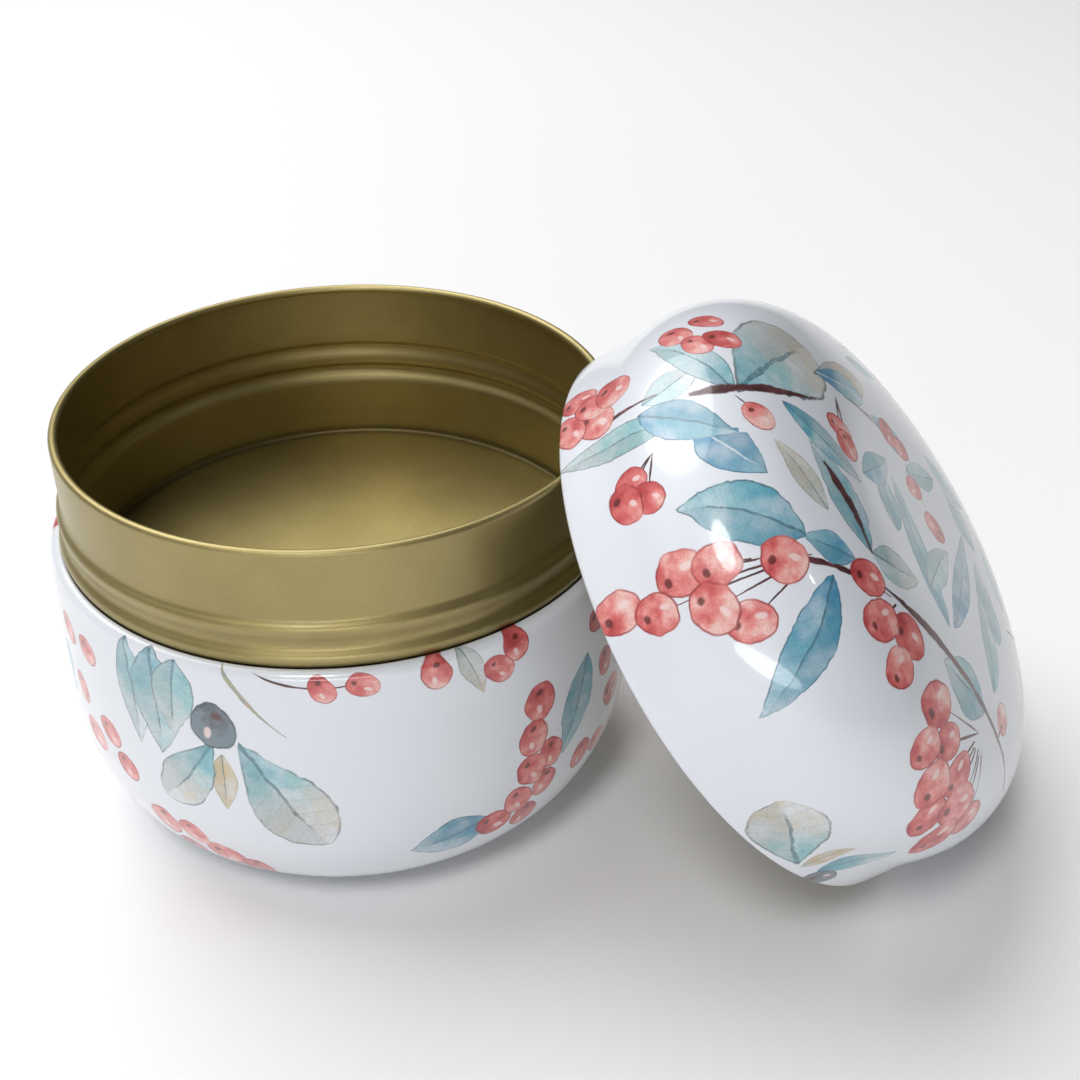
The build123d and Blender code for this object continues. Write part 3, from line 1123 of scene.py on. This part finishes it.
def printed_enamel(shell):
    """White enamel with this shell's layers of leaves, twigs and berries, under varnish."""
    material, shader, s, place, skin = bare_material("printed_enamel_" + shell.name, 0.0)
    colour = s.blend(s.noise(place, 60, 3, 4), BARE, BARE_CLOUD)
    water = place_group(s.tree, WATER_GROUP, Place=place)
    noises = {name: water[name] for name in WATER}
    for kind, group in (("leaf", LEAF), ("twig", TWIG), ("berry", BERRY)):
        for layer in range(LAYERS[kind]):
            if (kind, layer) in shell.charts:
                chart = read_attribute(s.tree, f"{kind}_{layer}")["Vector"]
                colour = place_group(s.tree, group, Under=colour, Chart=chart, **noises)["Colour"]
    s.feed(shader.inputs["Base Color"], colour)
    s.feed(shader.inputs["Roughness"], s.scaled(skin["Haze"], ENAMEL_HAZE, ENAMEL_ROUGHNESS))
    shader.inputs["Coat Weight"].default_value = VARNISH
    shader.inputs["Coat Roughness"].default_value = VARNISH_ROUGHNESS
    s.feed(shader.inputs["Normal"], bump(s, skin["Height"], ENAMEL_PEEL))
    return material


bowl_enamel = printed_enamel(bowl)
lid_enamel = printed_enamel(lid)
print("enamel nodes", len(bowl_enamel.node_tree.nodes), len(lid_enamel.node_tree.nodes))

# %% [markdown]
# ## Gold lacquer
#
# The inside and the neck are a transparent yellow lacquer over bright tin. It looks like satin
# brass with a green cast. Its grain scatters light, so the material is metal with a middling
# roughness under a soft clear coat, and faint rings from the draw run round it. Where the cup's wall
# meets its floor the colour gets a dark line of painted shade, and the coat is left off so it has no
# gleam there.

# %% Make the lacquer
GOLD, GOLD_CLOUD = (0.40, 0.325, 0.135, 1), (0.35, 0.285, 0.115, 1)
# the second colour on the next line is painted shade for the corner of the cup's wall and floor
GOLD_GRAIN, GOLD_CORNER_SHADE = (0.20, 0.17, 0.07, 1), (0.05, 0.040, 0.018, 1)
GOLD_ROUGHNESS, GOLD_HAZE, GOLD_PEEL = 0.40, 0.14, 0.25
GLEAM, GLEAM_ROUGHNESS = 0.45, 0.22
CORNER_SHADE_SHARE = 0.85                   # how far the painted corner shade hides the gold


def gold_lacquer():
    """Satin yellow lacquer over tin."""
    material, shader, s, place, skin = bare_material("gold_lacquer", 1.0)
    cloud = s.ease(s.noise(place, 90, 3, 6), 0.3, 0.7)
    grain = s.ease(s.noise(place, 4200, 2, 8), 0.35, 0.7, 0.0, 0.22)
    colour = s.blend(grain, s.blend(cloud, GOLD, GOLD_CLOUD), GOLD_GRAIN)
    # painted shade: the gold darkens towards the corner of the cup's wall and floor, and loses its coat
    # there
    corner_shade = read_attribute(s.tree, "corner_shade")["Fac"]
    colour = s.blend(s.times(corner_shade, CORNER_SHADE_SHARE), colour, GOLD_CORNER_SHADE)
    s.feed(shader.inputs["Base Color"], colour)
    shader.inputs["Metallic"].default_value = 1.0
    s.feed(shader.inputs["Coat Weight"], s.scaled(corner_shade, -GLEAM, GLEAM))
    shader.inputs["Coat Roughness"].default_value = GLEAM_ROUGHNESS
    s.feed(shader.inputs["Roughness"], s.scaled(skin["Haze"], GOLD_HAZE, GOLD_ROUGHNESS))
    s.feed(shader.inputs["Normal"], bump(s, skin["Height"], GOLD_PEEL))
    return material


lacquer = gold_lacquer()
print("lacquer nodes", len(lacquer.node_tree.nodes))

# %% [markdown]
# ## Put the shells into Blender
#
# The arrays go into meshes in one call each. Faces of the outer skin take the first material and
# those of the inner skin the second. The corner charts are stored as attributes. On the inner skin,
# which never shows the enamel, they are far off everywhere.

# %% Make the meshes
SHARP = np.radians(40)              # edges turned by more than this aren't shaded smooth
CORNER_SHADE_SIZE = 0.9                     # mm over which the painted corner shade fades out


def corner_shade_of(shell):
    """How much painted shade each vertex gets, from 0 to 1.

    It is exp(-(d / CORNER_SHADE_SIZE)**2) at d mm from the corner of the cup's wall and floor.
    """
    if shell is not cup:
        return np.zeros(len(shell.places), np.float32)
    loop = np.column_stack([np.hypot(shell.places[:, 0], shell.places[:, 1]), shell.places[:, 2]])
    floor = cup_skin[0, 1] + WALL
    wall = cup_skin[cup_skin[:, 1] < floor + CORNER_SHADE_SIZE, 0].max() - WALL
    return np.exp(-np.sum((loop - [wall, floor])**2, axis=1) / CORNER_SHADE_SIZE**2).astype(np.float32)


def make_object(shell, places, materials):
    """A mesh object in metres from a shell, with its charts, its painted corner shade and each point's
    ring number.
    """
    mesh = bpy.data.meshes.new(shell.name)
    faces = shell.quads.tolist() + shell.fans.tolist()
    mesh.from_pydata((places * MM).tolist(), [], faces)
    for material in materials:
        mesh.materials.append(material)
    finish = np.zeros(len(faces), np.int32)
    finish[shell.outer_quads:len(shell.quads)] = len(materials) - 1
    finish[len(shell.quads) + COLUMNS:] = len(materials) - 1
    mesh.polygons.foreach_set("material_index", finish)
    mesh.polygons.foreach_set("use_smooth", np.ones(len(faces), bool))
    mesh.set_sharp_from_angle(angle=SHARP)
    rows = (len(places) - 2) // COLUMNS
    along = np.r_[0, np.repeat(np.arange(rows), COLUMNS), rows].astype(np.float32)
    mesh.attributes.new("along", "FLOAT", "POINT").data.foreach_set("value", along)
    # the painted corner shade, from 0 to 1 at each vertex
    mesh.attributes.new("corner_shade", "FLOAT", "POINT").data.foreach_set("value", corner_shade_of(shell))
    for (kind, layer), corners in shell.charts.items():
        full = np.full((len(mesh.loops), 3), FAR_OFF, np.float32)
        full[:shell.outer_quads * 4] = corners.reshape(-1, 3)
        attribute = mesh.attributes.new(f"{kind}_{layer}", "FLOAT_VECTOR", "CORNER")
        attribute.data.foreach_set("vector", full.ravel())
    mesh.validate()
    made = bpy.data.objects.new(shell.name, mesh)
    scene.collection.objects.link(made)
    print(made.name, "spans", [round(v, 1) for v in np.ptp(places, axis=0)], "mm")
    return made


bowl_tin = make_object(bowl, bowl_places, [bowl_enamel, lacquer])
cup_tin = make_object(cup, cup_places, [lacquer])
lid_tin = make_object(lid, lid_places, [lid_enamel, lacquer])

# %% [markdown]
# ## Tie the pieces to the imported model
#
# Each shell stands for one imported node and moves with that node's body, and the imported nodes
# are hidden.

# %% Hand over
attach(bowl_tin, "base")
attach(cup_tin, "base")
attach(lid_tin, "lid")
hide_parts("outer_bowl")
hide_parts("inner_cup")
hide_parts("lid_shell")
